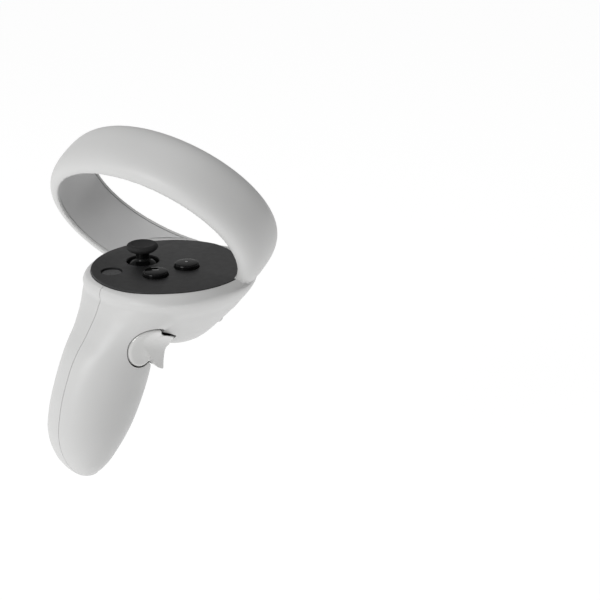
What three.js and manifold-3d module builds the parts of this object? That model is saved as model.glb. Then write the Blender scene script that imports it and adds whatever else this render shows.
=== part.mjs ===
// A left-hand virtual-reality motion controller: a tapered handle, a round head with a thumb
// plate, and a tracking ring that springs from the head. Millimetres, +Z up out of the thumb
// plate, +Y forward, +X towards the thumb (medial) side. The origin is the plate's top centre.
import * as THREE from "three";
import { mergeVertices } from "three/addons/utils/BufferGeometryUtils.js";
import { ConvexGeometry } from "three/addons/geometries/ConvexGeometry.js";
import Module from "manifold-3d";

const wasm = await Module();
wasm.setup();

// ---------------------------------------------------------------- driving dimensions
const GAP = 0.3; // clearance between pieces that meet
const WALL = 1.8; // moulded wall of the housing
const FIT = 0.08; // radial clearance of a pin in its bore
const PLATE = { radius: 32, thickness: 1.6 };
const LEDGE = { inner: 29.5, outer: 33.6, top: -1.9, bottom: -3.4 };
const RIM = { radius: 35.2 };
const RING = {
  centre: [-9, 3.6, 20.3],
  lean: 60, // forward lean of the ring's axis from +Z, degrees
  tilt: 14.2, // sideways lean, away from the thumb
  roll: 15,
  a: 43.6, // inner half-widths of the oval
  b: 30.2,
  width: 25.8,
  thickness: 7.2,
  lip: 2.95,
  wall: 1.5,
  web: 1.3, // wall of the inner cover
};
const LED = { depth: 3.4, thickness: 0.4, width: 16, from: 138, to: 392, count: 12 };
const SPLIT = { x: 0.8, slope: 0.04 }; // parting plane of the two housing halves
const STICK = { x: -11.8, y: -5.1, pivot: -8, well: 6.7, dome: 9, skirt: 52, neck: 3.2, cap: 6.5 };
const MODULE = { size: 15, cavity: 12.8, top: -7.2, bottom: -13, floor: -12.2 };
const BUTTON = { radius: 5, height: 2.1, hole: 5.2, flange: 5.9, stem: -3.5 };
const X_AT = [5.7, -10.7];
const Y_AT = [5.7, 4.6];
const MENU = { at: [-9.3, -22], radius: 4.1, hole: 4.4, top: -0.7 };
const BOARD = { radius: 26, top: -6.3, bottom: -7.3 };
const SWITCH = { radius: 3, bottom: -6, top: -4.7 };
const INDEX = { y: 27.5, z: -13.5, left: -10, right: 9, travel: 15 };
const GRIP = {
  pivot: [8.5, -29.5, -25],
  round: { radius: 8.6, y: -24.3, z: -24.2 },
  inner: 5.2,
  leverTop: -17,
  leverTip: -35,
  travel: 8,
};
const PIN = 1.2;
const CELL = { radius: 7.1, length: 49.5, centre: [-2.6, -37, -45] }; // AA size
const HANDLE_LEAN = 17.2; // backward lean of the handle from -Z, degrees
const COVER = { x: -9, top: -32, bottom: -70 }; // battery cover's outline
const STRAP_SLOT = { at: [0.5, -44.5, -79], size: [7.4, 5.6, 8] };

// Each trigger's magnet, its bore's radius, and the spring from the frame to the lever.
const MAGNET = { radius: 1.5, bore: 1.8 };
const INDEX_MAGNET = { x: 5, z: -23, rear: 15.6, front: 18.6, boreRear: 14, boreFront: 19.4 };
const GRIP_MAGNET = { y: -18, z: -22, from: 5.4, to: 7.2, boreFrom: 4, boreTo: 7.5 };
const SPRING = { wire: 0.3, turns: 3 };
const INDEX_SPRING = { from: [-4, 11, -20], to: [-4, 14.4, -20.4], radius: 1.8 };
const GRIP_SPRING = { from: [1.3, -15.6, -20.6], to: [4.8, -15.6, -20.6], radius: 2 };

// The groove a finger rests in: its middle, its directions, its radius and how deep it is.
const GROOVE = {
  at: [13.2, -17, -26.4], along: [-0.46, 0.888, 0], out: [0.888, 0.46, 0],
  radius: 13, hub: 10.6, from: -12, to: 14,
};

const GIMBAL = { outer: 4.6, inner: 2.7, half: 0.6 };
const CARRIER = { size: [11, 11, 1], z: -11.1 };
const CRADLE = { outer: 8.7, inner: 7.5, from: -7, to: 23 };
const CONTACT = { radius: 5, from: -26.6, to: -26.1 };
const CELL_SPRING = { from: 25.3, to: 28.6, narrow: 2, wide: 3.6 };
const MOTOR = { radius: 4, top: -10, bottom: -13.4, at: [14, -9] };
const ANCHOR = { radius: 0.9, from: -4.6, to: 5.6, y: -44.5, z: -76.2 };
const SCREW = { head: 2.1, socket: 0.9, top: -7.7, floor: -7, seat: -6.3, tip: 7.5 };

// The inner frame's panels, each its size and its middle.
const FRAME = {
  deck: { size: [22, 31, 1.4], at: [0.6, -5, -15.2] },
  indexWall: { size: [18, 1.4, 12], at: [0, 9.8, -20.5] },
  gripWall: { size: [1.4, 11, 10], at: [0.2, -15, -20] },
};

// Outline stations, from the rim down: [z, rear y, front y, half width]
const HEAD = [
  [-0.2, -32.9, 32.9, 32.9],
  [-2.2, -34.8, 34.8, 34.8],
  [-3.8, -35.2, 34.6, RIM.radius],
  [-8, -33, 33.2, 33],
  [-13, -28, 31, 28.6],
  [-18, -23.5, 28, 24],
  [-23, -19.5, 24.2, 19.6],
  [-27, -15.5, 20.5, 15.8],
  [-30.5, -10.5, 16.8, 11.6],
  [-32.8, -4.5, 13, 7.4],
  [-33.8, 1.5, 8.5, 3.4],
];
const HANDLE = [
  [-4.5, -33.4, 18, 30],
  [-8, -35.2, 13, 28.6],
  [-12, -37.2, 6, 25.2],
  [-16, -39.8, -1, 21.8],
  [-20, -42.6, -7.4, 19.2],
  [-26, -47.3, -12.6, 17.2],
  [-38, -53.5, -14.8, 16.3],
  [-50, -57.4, -19.8, 16.2],
  [-60, -58.7, -25.6, 15.6],
  [-68, -57.2, -31.6, 13.6],
  [-74, -54.2, -36.6, 10.6],
  [-77.6, -51, -40.2, 7],
  [-79.4, -47.8, -42.6, 3.4],
];

// ---------------------------------------------------------------- materials
const finish = (color, roughness, metalness = 0) =>
  new THREE.MeshStandardMaterial({ color, roughness, metalness });
const satinGrey = finish(0xd4d4d4, 0.5);
const glossGrey = finish(0xdedede, 0.25);
const plateBlack = finish(0x2c2c2e, 0.55);
const rubberBlack = finish(0x1a1a1b, 0.85);
const glossBlack = finish(0x101011, 0.15);
const menuGrey = finish(0x5a5a5c, 0.45);
const steel = finish(0xb8babd, 0.3, 1);
const board = finish(0x1f5a3a, 0.5);
const cellGreen = finish(0x3f6f8f, 0.4, 0.2);
const amber = finish(0x8a5a20, 0.5);
const innerBlack = finish(0x3a3a3c, 0.6);

// ---------------------------------------------------------------- solids
const V = (x, y, z) => new THREE.Vector3(x, y, z);

function solidOf(geometry, tolerance = 1e-4) {
  const g = geometry.index ? geometry.toNonIndexed() : geometry.clone();
  g.deleteAttribute("normal");
  g.deleteAttribute("uv");
  const m = mergeVertices(g, tolerance);
  return new wasm.Manifold(
    new wasm.Mesh({
      numProp: 3,
      vertProperties: new Float32Array(m.attributes.position.array),
      triVerts: new Uint32Array(m.index.array),
    }),
  );
}

function geometryOf(solid) {
  const m = solid.getMesh();
  const v = new Float32Array(m.numVert * 3);
  for (let i = 0; i < m.numVert; i++) {
    v.set(m.vertProperties.subarray(i * m.numProp, i * m.numProp + 3), i * 3);
  }
  return new THREE.BufferGeometry()
    .setAttribute("position", new THREE.BufferAttribute(v, 3))
    .setIndex(new THREE.BufferAttribute(m.triVerts, 1));
}

const largest = (solid) =>
  solid.decompose().sort((p, q) => q.volume() - p.volume())[0];

// The largest body once its corners are rounded to the precision that a mesh holds.
const settled = (solid) => largest(solidOf(geometryOf(largest(solid)), 1e-3));

const joined = (...solids) => solids.reduce((p, q) => p.add(q));

// A closed skin over equal-length rings of points; caps the ends, or joins them if looped.
function skin(rings, looped = false) {
  const n = rings[0].length;
  const points = rings.flat();
  const index = [];
  const last = looped ? rings.length : rings.length - 1;
  for (let i = 0; i < last; i++) {
    const j = (i + 1) % rings.length;
    for (let k = 0; k < n; k++) {
      const l = (k + 1) % n;
      index.push(i * n + k, i * n + l, j * n + l, i * n + k, j * n + l, j * n + k);
    }
  }
  if (!looped) {
    for (const [ring, flip] of [[0, true], [rings.length - 1, false]]) {
      const hub = points.length;
      const middle = V(0, 0, 0);
      rings[ring].forEach((p) => middle.addScaledVector(p, 1 / n));
      points.push(middle);
      for (let k = 0; k < n; k++) {
        const [p, q] = [ring * n + k, ring * n + ((k + 1) % n)];
        index.push(hub, ...(flip ? [q, p] : [p, q]));
      }
    }
  }
  const g = new THREE.BufferGeometry().setFromPoints(points);
  g.setIndex(index);
  const made = solidOf(g);
  if (made.volume() > 0) return made;
  for (let i = 0; i < index.length; i += 3) {
    [index[i + 1], index[i + 2]] = [index[i + 2], index[i + 1]];
  }
  return solidOf(g.setIndex(index));
}

// A round bar from one point to another.
function bar(from, to, radius, sides = 24, endRadius = radius) {
  const [p, q] = [V(...from), V(...to)];
  const g = new THREE.CylinderGeometry(endRadius, radius, p.distanceTo(q), sides);
  const turn = new THREE.Quaternion().setFromUnitVectors(
    V(0, 1, 0),
    q.clone().sub(p).normalize(),
  );
  g.applyQuaternion(turn);
  g.translate(...p.add(q).multiplyScalar(0.5).toArray());
  return solidOf(g);
}

function block(size, at, turn = [0, 0, 0]) {
  const g = new THREE.BoxGeometry(...size);
  g.applyQuaternion(
    new THREE.Quaternion().setFromEuler(
      new THREE.Euler(...turn.map(THREE.MathUtils.degToRad)),
    ),
  );
  g.translate(...at);
  return solidOf(g);
}

// A turned piece about a vertical axis, from [radius, z] points that start and end on the axis.
function turned(profile, x, y, sides = 32) {
  const g = new THREE.LatheGeometry(
    profile.map(([r, z]) => new THREE.Vector2(r, z)),
    sides,
  );
  g.rotateX(Math.PI / 2);
  g.translate(x, y, 0);
  const made = solidOf(g);
  return made.volume() > 0 ? made : skinFlipped(g);
}

function skinFlipped(g) {
  const flat = g.index ? g.toNonIndexed() : g;
  const p = flat.attributes.position;
  for (let i = 0; i < p.count; i += 3) {
    const [b, c] = [V(), V()];
    b.fromBufferAttribute(p, i + 1);
    c.fromBufferAttribute(p, i + 2);
    p.setXYZ(i + 1, c.x, c.y, c.z);
    p.setXYZ(i + 2, b.x, b.y, b.z);
  }
  return solidOf(flat);
}

// ---------------------------------------------------------------- head and handle
const SIDES = 28;
const SQUARENESS = 2.2;

function outline([z, rear, front, half], inset) {
  const [mid, deep, wide] = [(rear + front) / 2, (front - rear) / 2 - inset, half - inset];
  return Array.from({ length: SIDES }, (_, i) => {
    const t = (2 * Math.PI * i) / SIDES;
    const power = (v) => Math.sign(v) * Math.abs(v) ** (2 / SQUARENESS);
    return V(wide * power(Math.cos(t)), mid + deep * power(Math.sin(t)), z);
  });
}

// Smooth stations between the stated ones, by a curve through them.
function smoothed(stations, steps) {
  const curve = (k) =>
    new THREE.CatmullRomCurve3(
      stations.map((s) => V(s[0], s[k], 0)),
      false,
      "centripetal",
    );
  const curves = [1, 2, 3].map(curve);
  return Array.from({ length: steps + 1 }, (_, i) => {
    const p = curves.map((c) => c.getPoint(i / steps));
    return [p[0].x, p[0].y, p[1].y, p[2].y];
  });
}

// A lofted solid through the stations, shrunk by inset, or grown where inset is negative.
function form(stations, steps, inset) {
  const rows = smoothed(stations, steps);
  const [top, bottom] = [rows[0][0] - inset, rows[rows.length - 1][0] + inset];
  const kept = rows.filter((r) => r[3] - inset > 1 && r[2] - r[1] > 2 * inset + 2);
  return skin(
    kept.map((r, i) => {
      const z = inset < 0 && i === 0 ? top : Math.min(top, Math.max(bottom, r[0]));
      const spread = 0.02 * (r[0] - z); // keeps stacked outlines in order where they are clamped
      return outline([inset < 0 ? z : z + spread, r[1], r[2], r[3]], inset);
    }),
  );
}

// ---------------------------------------------------------------- ring
const rad = THREE.MathUtils.degToRad;
const ringAxis = V(
  -Math.sin(rad(RING.tilt)),
  Math.sin(rad(RING.lean)) * Math.cos(rad(RING.tilt)),
  Math.cos(rad(RING.lean)) * Math.cos(rad(RING.tilt)),
);
const flatAcross = V(1, 0, 0).addScaledVector(ringAxis, -ringAxis.x).normalize();
const flatAlong = ringAxis.clone().cross(flatAcross);
const ringU = flatAcross
  .clone()
  .multiplyScalar(Math.cos(rad(RING.roll)))
  .addScaledVector(flatAlong, Math.sin(rad(RING.roll)));
const ringV = ringAxis.clone().cross(ringU);

// A point of the band: angle round the oval, depth out from its inner face, height on the axis.
function ringPoint(angle, depth, height) {
  const [c, s] = [Math.cos(angle), Math.sin(angle)];
  return V(...RING.centre)
    .addScaledVector(ringU, (RING.a + depth) * c)
    .addScaledVector(ringV, (RING.b + depth) * s)
    .addScaledVector(ringAxis, height);
}

const bulge = (s) => RING.lip + (RING.thickness - RING.lip) * Math.sqrt(1 - s * s);

// The band's outer skin as [depth, height] points from its lower to its upper lip.
function outerProfile(inset, steps) {
  const half = RING.width / 2 - inset;
  return Array.from({ length: steps + 1 }, (_, i) => {
    const s = Math.sin((Math.PI * (i / steps - 0.5)));
    return [bulge(s) - inset, s * half];
  });
}

function ringBand(profile, segments = 44, from = 0, to = 2 * Math.PI) {
  const whole = to - from > 2 * Math.PI - 1e-6;
  const count = whole ? segments : segments + 1;
  const rings = Array.from({ length: count }, (_, i) =>
    profile.map(([d, h]) => ringPoint(from + ((to - from) * i) / segments, d, h)),
  );
  return skin(rings, whole);
}

const half = RING.width / 2;
const ringGrown = ringBand([
  [-GAP, -half - GAP],
  [RING.lip + GAP, -half - GAP],
  ...outerProfile(-GAP, 6).slice(1, -1),
  [RING.lip + GAP, half + GAP],
  [-GAP, half + GAP],
]);
const ringOuter = ringBand([...outerProfile(0, 6), ...outerProfile(RING.wall, 6).reverse()]);
const ringHollow = ringBand([
  [RING.web + GAP, -half + RING.wall],
  ...outerProfile(RING.wall, 6).filter(([d]) => d > RING.web + GAP),
  [RING.web + GAP, half - RING.wall],
]);

// The inner cover's channel section, grown on every side.
function channel(grow) {
  const [web, lip] = [RING.web + grow, RING.lip - GAP + grow];
  const [edge, step] = [half + (grow > 0 ? grow : 0), half - RING.web - grow];
  return ringBand([
    [-grow, -edge], [lip, -edge], [lip, -step], [web, -step],
    [web, step], [lip, step], [lip, edge], [-grow, edge],
  ]);
}

// ---------------------------------------------------------------- outer form and hollow
const headForm = form(HEAD, 12, 0);
const headGrown = form(HEAD, 12, -GAP);
const handleForm = form(HANDLE, 16, 0);

function fairingForm() {
  const feet = [2, 10, 18, 26, 34].flatMap((t) =>
    outerProfile(0, 6).slice(0, 6).map(([d, h]) => ringPoint(rad(t), d, h)),
  );
  const rim = [22, 36, 50].map((t) => V(34 * Math.cos(rad(t)), 34 * Math.sin(rad(t)), -5));
  const hull = solidOf(new ConvexGeometry([...feet, ...rim, V(23, 16, -16), V(17, 18, -21)]));
  const opening = ringBand([
    [-14, -half - GAP], [RING.lip, -half - GAP], [RING.lip, half + GAP], [-14, half + GAP],
  ]);
  return hull.subtract(opening);
}

// A large block whose lower face is the plane of the ring's upper edge.
function beyondRing() {
  const g = new THREE.BoxGeometry(160, 160, 40);
  g.applyQuaternion(new THREE.Quaternion().setFromUnitVectors(V(0, 0, 1), ringAxis));
  const at = V(...RING.centre).addScaledVector(ringAxis, half + 20);
  g.translate(at.x, at.y, at.z);
  return solidOf(g);
}

const bodyForm = joined(headForm, handleForm, fairingForm()).subtract(beyondRing());
const bodyHollow = joined(form(HEAD, 9, WALL), form(HANDLE, 12, WALL));

// Everything on the lateral side of the parting plane, moved by shift along +X.
function lateralSide(shift) {
  const turn = THREE.MathUtils.radToDeg(Math.atan(SPLIT.slope));
  return block([200, 240, 400], [SPLIT.x + shift - 100, 0, 0], [0, -turn, 0]);
}

const disc = (radius, top, bottom, [x, y] = [0, 0], sides = 56) =>
  bar([x, y, bottom], [x, y, top], radius, sides);

const alongX = (radius, from, to, y, z, sides = 24) =>
  bar([from, y, z], [to, y, z], radius, sides);

// ---------------------------------------------------------------- index trigger
// Outline on the YZ plane; rotates about a pin along X near its upper end.
const INDEX_OUTLINE = [
  [30.6, -12.4], [27.6, -17], [24.6, -21.4], [22.2, -25], [20.9, -27.2], [19.6, -28.2],
  [17, -27.4], [15.2, -22.4], [20, -15.6], [24.6, -10.6], [28, -9.8],
];

// An outline's points moved away from their average by grow.
function grownOutline(points, grow) {
  const outline = points.map(([x, y]) => new THREE.Vector2(x, y));
  const middle = new THREE.Vector2();
  outline.forEach((p) => middle.addScaledVector(p, 1 / outline.length));
  return outline.map((p) => p.clone().addScaledVector(p.clone().sub(middle).normalize(), grow));
}

function indexForm(grow) {
  const shape = new THREE.Shape(grownOutline(INDEX_OUTLINE, grow));
  const g = new THREE.ExtrudeGeometry(shape, {
    depth: INDEX.right - INDEX.left + 2 * grow,
    bevelEnabled: false,
  });
  // the shape's x, y and depth become the part's y, z and x
  g.applyMatrix4(new THREE.Matrix4().makeBasis(V(0, 1, 0), V(0, 0, 1), V(1, 0, 0)));
  g.translate(INDEX.left - grow, 0, 0);
  return solidOf(g);
}

// A solid at every step of a turn about a line, joined: the space it sweeps.
function swept(solid, through, axis, degrees, steps) {
  const turned = Array.from({ length: steps + 1 }, (_, i) => {
    const q = new THREE.Quaternion().setFromAxisAngle(axis, rad((degrees * i) / steps));
    const m = new THREE.Matrix4()
      .makeTranslation(...through)
      .multiply(new THREE.Matrix4().makeRotationFromQuaternion(q))
      .multiply(new THREE.Matrix4().makeTranslation(...through.map((v) => -v)));
    return solid.transform(m.elements);
  });
  return joined(...turned);
}

const indexSweep = swept(
  indexForm(0.4), [0, INDEX.y, INDEX.z], V(-1, 0, 0), INDEX.travel + 1, 4,
);

// ---------------------------------------------------------------- grip trigger
const handleUp = V(0, Math.sin(rad(HANDLE_LEAN)), Math.cos(rad(HANDLE_LEAN)));

const GRIP_PLAN = [
  [16.6, -24.6], [16.6, -22.6], [10.4, -11.2], [8.8, -10.4], [7, -11], [5.2, -14], [5.2, -24.6],
];
const PROUD = 0.5; // how far the trigger's side stands out of the handle

function gripForm(grow) {
  const { radius, y, z } = GRIP.round;
  const side = alongX(radius + grow, GRIP.inner - grow, 24, y, z, 28).intersect(
    form(HANDLE, 16, -PROUD - grow),
  );
  const shape = new THREE.Shape(grownOutline(GRIP_PLAN, grow));
  const depth = GRIP.leverTop - GRIP.leverTip + 2 * grow;
  const lever = new THREE.ExtrudeGeometry(shape, { depth, bevelEnabled: false });
  lever.translate(0, 0, GRIP.leverTip - grow);
  return side.add(solidOf(lever));
}

// The finger's groove across the trigger's face.
function fingerGroove() {
  const along = V(...GROOVE.along);
  const hub = V(...GROOVE.at).addScaledVector(V(...GROOVE.out), GROOVE.hub);
  return bar(
    hub.clone().addScaledVector(along, GROOVE.from).toArray(),
    hub.clone().addScaledVector(along, GROOVE.to).toArray(),
    GROOVE.radius, 40,
  );
}

const gripSweep = swept(gripForm(0.45), GRIP.pivot, handleUp, GRIP.travel + 1, 1);
const onGripAxis = (t) => V(...GRIP.pivot).addScaledVector(handleUp, t).toArray();
const gripBore = bar(onGripAxis(-14), onGripAxis(14), PIN + FIT, 24);

// ---------------------------------------------------------------- housing
// Each housing screw's axis [y, z] and the depth of its boss beyond it, towards the wall.
const SCREWS = { head: [-29, -9, -3], rear: [-50, -46, -3], front: [-24.6, -46, 3] };

function bosses() {
  const screwBosses = Object.values(SCREWS).map(([y, z, out]) =>
    block([15.4, 5.2 + Math.abs(out), 5.2], [1.7, y + out / 2, z]),
  );
  const indexBosses = [-12.2, 11.2].map((x) => block([3, 8, 7], [x, 28, INDEX.z]));
  const gripBosses = [-9, 9].map((t) => {
    const [x, y, z] = onGripAxis(t);
    return block([10, 5, 2.6], [x + 3.6, y, z], [-HANDLE_LEAN, 0, 0]);
  });
  const solids = joined(...screwBosses, ...indexBosses, ...gripBosses).intersect(bodyForm);
  const bores = Object.values(SCREWS).map(([y, z]) => alongX(PIN + FIT, -9, 9, y, z));
  return solids.subtract(joined(...bores, gripBore));
}

const ledge = disc(LEDGE.outer, LEDGE.top, LEDGE.bottom)
  .subtract(disc(LEDGE.inner, LEDGE.top + 1, LEDGE.bottom - 1))
  .intersect(headForm);
const platePocket = disc(PLATE.radius + GAP, 4, LEDGE.top)
  .add(disc(LEDGE.inner, LEDGE.top + 1, LEDGE.bottom - 0.5));
const indexBore = alongX(PIN + FIT, INDEX.left - 3.2, INDEX.right + 3.2, INDEX.y, INDEX.z);
const strapSlot = block(STRAP_SLOT.size, STRAP_SLOT.at);
const coverBlock = (inset) =>
  block(
    [30, 90, COVER.top - COVER.bottom - 2 * inset],
    [COVER.x - inset - 15, -35, (COVER.top + COVER.bottom) / 2],
  );

const bodyShell = joined(bodyForm.subtract(bodyHollow), ledge, bosses())
  .subtract(joined(platePocket, indexSweep, gripSweep, indexBore, strapSlot));
const channelPocket = channel(GAP).subtract(headForm);

const housingLateral = settled(
  bodyShell.intersect(lateralSide(0)).subtract(ringGrown).subtract(coverBlock(0)),
);
const housingMedial = settled(
  joined(bodyShell.subtract(lateralSide(GAP)), ringOuter.subtract(bodyHollow))
    .subtract(joined(ringHollow, channelPocket, platePocket))
    .subtract(bodyShell.intersect(lateralSide(0)).subtract(ringGrown)),
);
const batteryCover = settled(
  handleForm.subtract(form(HANDLE, 12, WALL)).intersect(coverBlock(GAP)),
);

// ---------------------------------------------------------------- plate and controls
const holeAt = (radius, at, sides = 32) => disc(radius, 3, -5, at, sides);

function faceplate() {
  const holes = joined(
    holeAt(STICK.well, [STICK.x, STICK.y]),
    holeAt(BUTTON.hole, X_AT),
    holeAt(BUTTON.hole, Y_AT),
    holeAt(MENU.hole, MENU.at),
  );
  const blank = disc(PLATE.radius, 0, -PLATE.thickness, [0, 0], 72);
  return largest(blank.subtract(ringGrown).subtract(holes));
}

function faceButton([x, y]) {
  return turned(
    [
      [0, BUTTON.stem], [2, BUTTON.stem], [2, -3.4], [BUTTON.flange, -3.4], [BUTTON.flange, -2.4],
      [BUTTON.radius, -2.4], [BUTTON.radius, 1], [4.6, 1.6], [3.4, 1.95], [0, BUTTON.height],
    ],
    x, y, 26,
  );
}

function menuButton() {
  const dish = MENU.top - 0.35;
  return turned(
    [
      [0, BUTTON.stem], [1.6, BUTTON.stem], [1.6, -3], [5, -3], [5, -2.2], [MENU.radius, -2.2],
      [MENU.radius, MENU.top - 0.2], [MENU.radius - 0.3, MENU.top], [3, dish + 0.1], [0, dish],
    ],
    ...MENU.at, 24,
  );
}

function mainBoard() {
  const hole = (radius, at) => disc(radius, BOARD.top + 1, BOARD.bottom - 1, at, 32);
  const well = block(
    [MODULE.size + 1, MODULE.size + 1, 4],
    [STICK.x, STICK.y, BOARD.top],
  ).add(hole(9.8, [STICK.x, STICK.y]));
  return largest(disc(BOARD.radius, BOARD.top, BOARD.bottom, [0, 0], 48).subtract(well));
}

function domeSwitch([x, y]) {
  const { radius, bottom, top } = SWITCH;
  return turned(
    [[0, bottom], [radius, bottom], [radius, top - 0.5], [1.6, top - 0.3], [1.2, top], [0, top]],
    x, y, 20,
  );
}

function thumbstickModule() {
  const { size, cavity, top, bottom, floor } = MODULE;
  return block([size, size, top - bottom], [STICK.x, STICK.y, (top + bottom) / 2]).subtract(
    block([cavity, cavity, top - floor + 2], [STICK.x, STICK.y, (top + floor) / 2 + 1]),
  );
}

const thumbstickCarrier = () => block(CARRIER.size, [STICK.x, STICK.y, CARRIER.z]);

function thumbstickGimbal() {
  const { outer, inner, half: thick } = GIMBAL;
  const plate = (radius, t) =>
    disc(radius, STICK.pivot + t, STICK.pivot - t, [STICK.x, STICK.y], 24);
  return plate(outer, thick).subtract(plate(inner, thick + 1));
}

// The stem with its domed skirt, all about the pivot.
function thumbstickShaft() {
  const { dome, neck, pivot, skirt } = STICK;
  const arc = (radius, from, to, steps) =>
    Array.from({ length: steps + 1 }, (_, i) => {
      const t = rad(from + ((to - from) * i) / steps);
      return [radius * Math.sin(t), pivot + radius * Math.cos(t)];
    });
  const [stem, inner] = [1.6, dome - 0.8];
  const angleOf = (r, radius) => THREE.MathUtils.radToDeg(Math.asin(r / radius));
  return turned(
    [
      [0, pivot - 1.4],
      [stem, pivot - 1.4],
      ...arc(inner, angleOf(stem, inner), skirt, 8),
      ...arc(dome, skirt, angleOf(neck, dome), 8),
      [neck - 0.4, 2.4],
      [neck - 0.4, 3.7],
      [0, 3.7],
    ],
    STICK.x, STICK.y, 28,
  );
}

function thumbstickCap() {
  const r = STICK.cap;
  return turned(
    [
      [0, 4], [4.4, 4], [5.6, 4.6], [6.3, 5.3], [r, 6], [6.4, 6.7], [6, 7.2], [5.4, 7.45],
      [4.6, 7.35], [3.2, 7], [0, 6.8],
    ],
    STICK.x, STICK.y, 32,
  );
}

// ---------------------------------------------------------------- springs
// A round wire wound about a line, as one closed solid.
function coil(from, to, radius, wire, turns, endRadius = radius) {
  const [p, q] = [V(...from), V(...to)];
  const axis = q.clone().sub(p);
  const side = V(0, 0, 1).cross(axis).lengthSq() > 1 ? V(0, 0, 1) : V(0, 1, 0);
  const u = side.clone().cross(axis).normalize();
  const v = axis.clone().cross(u).normalize();
  const count = Math.round(turns * 10);
  const rings = Array.from({ length: count + 1 }, (_, i) => {
    const [s, t] = [i / count, (2 * Math.PI * turns * i) / count];
    const r = radius + (endRadius - radius) * s;
    const out = u.clone().multiplyScalar(Math.cos(t)).addScaledVector(v, Math.sin(t));
    const hub = p.clone().addScaledVector(axis, s).addScaledVector(out, r);
    const along = axis.clone().normalize();
    return Array.from({ length: 5 }, (_, k) => {
      const w = (2 * Math.PI * k) / 5;
      return hub
        .clone()
        .addScaledVector(out, wire * Math.cos(w))
        .addScaledVector(along, wire * Math.sin(w));
    });
  });
  return skin(rings);
}

// ---------------------------------------------------------------- triggers and their hardware
function indexTrigger() {
  const { x, z, boreRear, boreFront } = INDEX_MAGNET;
  const magnetBore = bar([x, boreRear, z], [x, boreFront, z], MAGNET.bore, 20);
  return indexForm(0).subtract(joined(indexBore, magnetBore));
}

function gripTrigger() {
  const { y, z, boreFrom, boreTo } = GRIP_MAGNET;
  const magnetBore = alongX(MAGNET.bore, boreFrom, boreTo, y, z);
  return largest(
    gripForm(0).subtract(fingerGroove()).subtract(joined(gripBore, magnetBore)),
  );
}

const innerFrame = () =>
  joined(...Object.values(FRAME).map(({ size, at }) => block(size, at)));

function indexMagnet() {
  const { x, z, rear, front } = INDEX_MAGNET;
  return bar([x, rear, z], [x, front, z], MAGNET.radius, 20);
}

function gripMagnet() {
  const { y, z, from, to } = GRIP_MAGNET;
  return alongX(MAGNET.radius, from, to, y, z, 20);
}

const leverSpring = ({ from, to, radius }) =>
  coil(from, to, radius, SPRING.wire, SPRING.turns);

const anchorBar = () =>
  alongX(ANCHOR.radius, ANCHOR.from, ANCHOR.to, ANCHOR.y, ANCHOR.z, 16);

// ---------------------------------------------------------------- battery bay
const handleDown = handleUp.clone().negate();
const onCell = (t) => V(...CELL.centre).addScaledVector(handleDown, t).toArray();

function batteryCell() {
  const end = CELL.length / 2;
  return bar(onCell(-end), onCell(end), CELL.radius, 36).add(
    bar(onCell(-end - 1), onCell(-end + 1), 2.7, 20),
  );
}

function batteryCradle() {
  const { outer, inner, from, to } = CRADLE;
  const tube = bar(onCell(from), onCell(to), outer, 36).subtract(
    bar(onCell(from - 2), onCell(to + 2), inner, 36),
  );
  return largest(tube.intersect(block([20, 80, 80], [CELL.centre[0] + 10.5, -40, -50])));
}

const contactPlate = () =>
  bar(onCell(CONTACT.from), onCell(CONTACT.to), CONTACT.radius, 24);

function contactSpring() {
  const { from, to, narrow, wide } = CELL_SPRING;
  return coil(onCell(from), onCell(to), narrow, SPRING.wire, SPRING.turns, wide);
}

// ---------------------------------------------------------------- ring electronics
function ledStrip() {
  const { depth, thickness, width, from, to, count } = LED;
  const band = ringBand(
    [[depth, -width / 2], [depth + thickness, -width / 2], [depth + thickness, width / 2],
      [depth, width / 2]],
    40, rad(from), rad(to),
  );
  const lamps = Array.from({ length: count }, (_, i) => {
    const angle = rad(from + 22 + ((to - from - 44) * i) / (count - 1));
    const height = i % 2 ? 3.4 : -3.4;
    const corners = [[-0.2, -1.2], [0.8, -1.2], [0.8, 1.2], [-0.2, 1.2]].map(([d, h]) => [
      depth + thickness + d, height + h,
    ]);
    return ringBand(corners, 1, angle - 0.03, angle + 0.03);
  });
  return joined(band, ...lamps);
}

// ---------------------------------------------------------------- fasteners
function housingScrew([y, z]) {
  const { head, socket, top, floor, seat, tip } = SCREW;
  return alongX(head, top, seat, y, z, 20)
    .subtract(alongX(socket, top - 0.3, floor, y, z, 6))
    .add(alongX(PIN, seat - 0.3, tip, y, z, 20));
}

// ---------------------------------------------------------------- scene
const controller = new THREE.Group();

function place(name, solid, material) {
  const mesh = new THREE.Mesh(geometryOf(solid), material);
  mesh.name = name;
  controller.add(mesh);
}

place("housing_medial", housingMedial, satinGrey);
place("housing_lateral", housingLateral, satinGrey);
place("battery_cover", batteryCover, satinGrey);
place("ring_inner_cover", settled(channel(0).subtract(headGrown)), satinGrey);
place("led_flex_strip", ledStrip(), amber);
place("faceplate", faceplate(), plateBlack);

place("main_board", mainBoard(), board);
place("x_button_switch", domeSwitch(X_AT), steel);
place("y_button_switch", domeSwitch(Y_AT), steel);
place("menu_button_switch", domeSwitch(MENU.at), steel);
place("x_button", faceButton(X_AT), glossBlack);
place("y_button", faceButton(Y_AT), glossBlack);
place("menu_button", menuButton(), menuGrey);

place("thumbstick_module", thumbstickModule(), innerBlack);
place("thumbstick_carrier", thumbstickCarrier(), innerBlack);
place("thumbstick_gimbal", thumbstickGimbal(), steel);
place("thumbstick_shaft", thumbstickShaft(), glossBlack);
place("thumbstick_cap", thumbstickCap(), rubberBlack);

place("index_trigger", indexTrigger(), satinGrey);
place("index_trigger_pin", alongX(PIN, -12, 11, INDEX.y, INDEX.z), steel);
place("index_trigger_spring", leverSpring(INDEX_SPRING), steel);
place("index_trigger_magnet", indexMagnet(), steel);

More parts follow.
